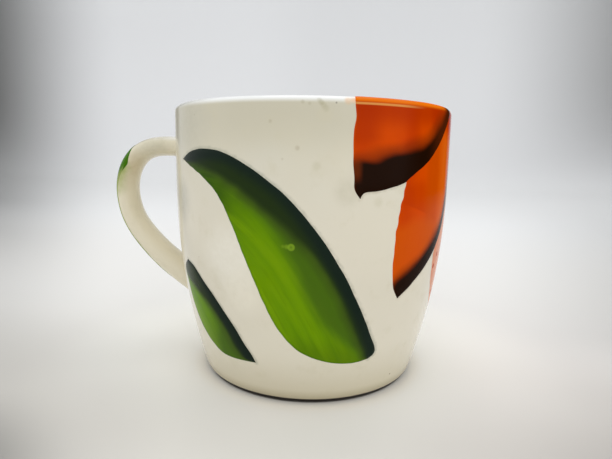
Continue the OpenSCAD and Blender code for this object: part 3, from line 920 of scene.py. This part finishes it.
# %% The leaf over the strap
STRAP_LENGTH, STRAP_R = 95, 4.6  # along the middle line, and about how far the skin is from it, in mm
OPENING = [[0.282, 0], [0.3, 42], [0.312, 62], [0.35, 93], [0.38, 95], [0.42, 78], [0.47, 65], [0.56, 61],
           [0.7, 58], [0.8, 48], [0.85, 26], [0.871, 0]]
rows = smooth_rows(OPENING, 20)
t, reach = rows[:, :1], np.maximum(rows[:, 1:], 0)
s = np.sin(np.linspace(-np.pi / 2, np.pi / 2, 81))[None, :]
shake = 2.5 * unsteady(t * 90, 31, 7) * np.minimum(reach / 30, 1)
angle = s * (reach + shake)
across, ahead = np.radians(angle) * STRAP_R, t * STRAP_LENGTH + 0 * s
flat = np.stack([across, ahead], -1)
edge = nearest(flat, np.concatenate([flat[:, 0], flat[:, -1]]))
marks = {
    "edge_mm": edge,
    "dark_mm": (78 - ahead) * 0.5,
    "middle_mm": (70 - ahead) * 0.5 - 6 * np.cos(np.radians(angle)),
    "across_mm": across,
    "along_mm": ahead,
}
front, back = strap_point(t, angle, coat_lift(0.12, edge, 0.22)), strap_point(t, angle, -SUNK)
thin_green = leaf_green("leaf colour on the handle", washed=0.85)
dress(coat_piece("handle_leaf", front, back, marks), thin_green, "leaf_paint", "handle_stroke")

# %% [markdown]
# ## Table, light and camera
# The mug stands on a pale sheet that curves up behind it, as in a small light tent, in soft light mostly from
# above. Painted light and shade lie on the sheet: a dark line where the foot meets it is painted shadow, a
# whiter spot and a warm ring round the mug are painted light, and the sheet is painted darker in front, on
# the left of its upright part and into grey towards the sides of the front view. The camera was fitted to the
# lip, the foot and the handle. The sheet is the stage: it isn't part of the mug.

# %% The sheet that it stands on
BEND_Y, BEND_R = 900.0, 500.0
SHEET_HALF, SHEET_START, SHEET_END = 2200, -1800, 3000


def sheet_point(u, v):
    """u runs across, v along: flat as far as BEND_Y, then a quarter circle of radius BEND_R, then up."""
    u, v = np.broadcast_arrays(u, v)
    bend = np.clip((v - BEND_Y) / BEND_R, 0, math.pi / 2)
    y = np.minimum(v, BEND_Y) + BEND_R * np.sin(bend)
    z = BEND_R * (1 - np.cos(bend)) + np.maximum(v - BEND_Y - BEND_R * math.pi / 2, 0)
    return np.stack([u * SHEET_HALF, y, z], -1)


u, v = np.linspace(-1, 1, 45)[None, :], np.linspace(SHEET_START, SHEET_END, 161)[:, None]
top = sheet_point(u, v)
rows, columns = top.shape[:2]
index = np.arange(rows * columns).reshape(rows, columns)
faces = np.stack([index[:-1, :-1], index[:-1, 1:], index[1:, 1:], index[1:, :-1]], -1).reshape(-1, 4)
mesh = bpy.data.meshes.new("sheet")
mesh.from_pydata((top.reshape(-1, 3) / 1000).tolist(), [], faces.tolist())
mesh.polygons.foreach_set("use_smooth", np.ones(len(mesh.polygons), bool))
sheet = added("sheet", mesh)
print("the sheet has", len(faces), "faces")

# %% The paper's tones, with painted light and shade
paper = Finish("paper")
at = paper.place()
x, y = (paper.part(at, axis) for axis in "XY")
side = (x - 28) / y.maths("MAXIMUM", y + 172, 60.0) + 0.23  # across the view, from its middle
left = paper.step(side, 0.1, -0.1)
# painted falloff of light: the sheet is painted darker in front of the mug and lighter behind it
paper.lay(paper.step(y, -60, 60), (241, 240, 237), under=(231, 228, 222))
paper.lay(paper.step(y, 60, 400), (246, 247, 247))
# painted shade: the upright part of the sheet is painted darker on the left
shaded_wall_tone = paper.mix(left, srgb(235, 236, 237), srgb(241, 242, 243))
paper.lay(paper.step(y, 900, 1200), shaded_wall_tone)
radius = radius_of(paper, at)
# painted light: a whiter spot on the sheet round the mug lifts its shade
near = paper.step(radius, 100, 60) * paper.step(y, -60, -10)
paper.lay(near, (249, 248, 243))
# painted bounce light: a warm ring on the sheet round the foot
paper.lay(paper.step(radius, 41, 35.5) * 0.7, (248, 243, 231))
# painted shadow: a dark ring where the foot meets the sheet
paper.lay(paper.step(radius, FOOT_R + 1.3, FOOT_R + 0.5) * 0.85, (52, 38, 24))
# painted shade: the sheet turns grey towards the corners of the front view, and its depth changes with the
# distance back
left_shade_depth = (0.21 + paper.step(y, -30, 40) * 0.1 + paper.step(y, 20, 220) * 0.27
              + paper.step(y, 200, 450) * 0.19 + paper.step(y, 1000, 1360) * 0.25
              + paper.step(y, -42, -82) * 0.5)
right_shade_depth = (0.38 - paper.step(y, 300, 750) * 0.14 + paper.step(y, 1000, 1390) * 0.65
               - paper.step(y, 50, 0) * 0.2 + paper.step(y, -20, -50) * 0.15)
corners = paper.step(abs(side), 0.36, 0.78) * (right_shade_depth + (left_shade_depth - right_shade_depth) * left)
corners = corners + paper.step(abs(side), 0.2, 0.42) * paper.step(y, 30, -30) * 0.14
outside = y.maths("MAXIMUM", paper.step(abs(side), 0.8, 1.2), paper.step(y, -150, -400))
paper.lay(corners * (1 - outside) * paper.step(y, -160, -60), (90, 90, 88))
paper.lay(outside * paper.step(radius, 300, 1500), (250, 251, 252))
fibres = paper.noise(at, 2.0, 3)
sheet.data.materials.append(paper.finished(Roughness=0.8 + 0.1 * fibres, Specular_IOR_Level=0.2))


# %% Lights and world
def turned(right, up, back, place):
    """The matrix of an object whose X, Y and Z point right, up and back, at a place in mm."""
    sides = np.column_stack([right, up, back, np.array(place) / 1000])
    return Matrix(np.vstack([sides, [0, 0, 0, 1]]).tolist())


def soft_light(name, place, aim, size, watts, tone=(1, 1, 1)):
    """A square lamp at a place in mm, turned to shine at a point in mm."""
    lamp = bpy.data.lights.new(name, "AREA")
    lamp.size, lamp.energy, lamp.color = size / 1000, watts, tone
    towards = np.array(aim, float) - place
    towards /= np.linalg.norm(towards)
    side = np.cross(towards, (0, 1, 0) if abs(towards[2]) > 0.9 else (0, 0, 1))
    side /= np.linalg.norm(side)
    added(name, lamp).matrix_world = turned(side, np.cross(side, towards), -towards, place)


soft_light("overhead", (0, 120, 620), (0, 40, 0), 420, 0.7, (1.0, 0.995, 0.98))
soft_light("left window", (-620, -160, 330), (0, 0, 50), 500, 0.2, (0.97, 0.985, 1.0))
soft_light("right window", (560, -330, 300), (0, 0, 40), 800, 0.7, (1.0, 0.99, 0.97))
world = bpy.data.worlds.new("pale room")
world.use_nodes = True
world.node_tree.nodes["Background"].inputs["Color"].default_value = (0.985, 0.99, 1.0, 1)
world.node_tree.nodes["Background"].inputs["Strength"].default_value = 0.88
bpy.context.scene.world = world
bpy.context.scene.view_settings.view_transform = "Standard"

# %% The camera
FOCAL_PX, VIEW_PX, SENSOR = 476.8, 612, 36.0
DISTANCE, EYE_Z, EYE_TURN, PITCH, BEARING, ROLL = 162.37, 70.475, 10, 8.839, -10.531, 1.074
eye_turn, pitch, bearing, roll = (math.radians(x) for x in (EYE_TURN, PITCH, BEARING, ROLL))
eye = np.array([DISTANCE * math.sin(eye_turn), -DISTANCE * math.cos(eye_turn), EYE_Z])
look = np.array([math.sin(bearing) * math.cos(pitch), math.cos(bearing) * math.cos(pitch), -math.sin(pitch)])
right = np.cross(look, [0, 0, 1])
right /= np.linalg.norm(right)
up = np.cross(right, look)
right, up = right * math.cos(roll) + up * math.sin(roll), up * math.cos(roll) - right * math.sin(roll)
lens = bpy.data.cameras.new("camera")
lens.sensor_fit, lens.sensor_width, lens.lens = "HORIZONTAL", SENSOR, FOCAL_PX / VIEW_PX * SENSOR
lens.clip_start, lens.clip_end = 0.01, 20
camera = added("camera", lens)
camera.matrix_world = turned(right, up, -look, eye)
bpy.context.scene.camera = camera
print(f"the camera has a {lens.lens:.1f} mm lens and stands {DISTANCE:.0f} mm from the mug's axis")
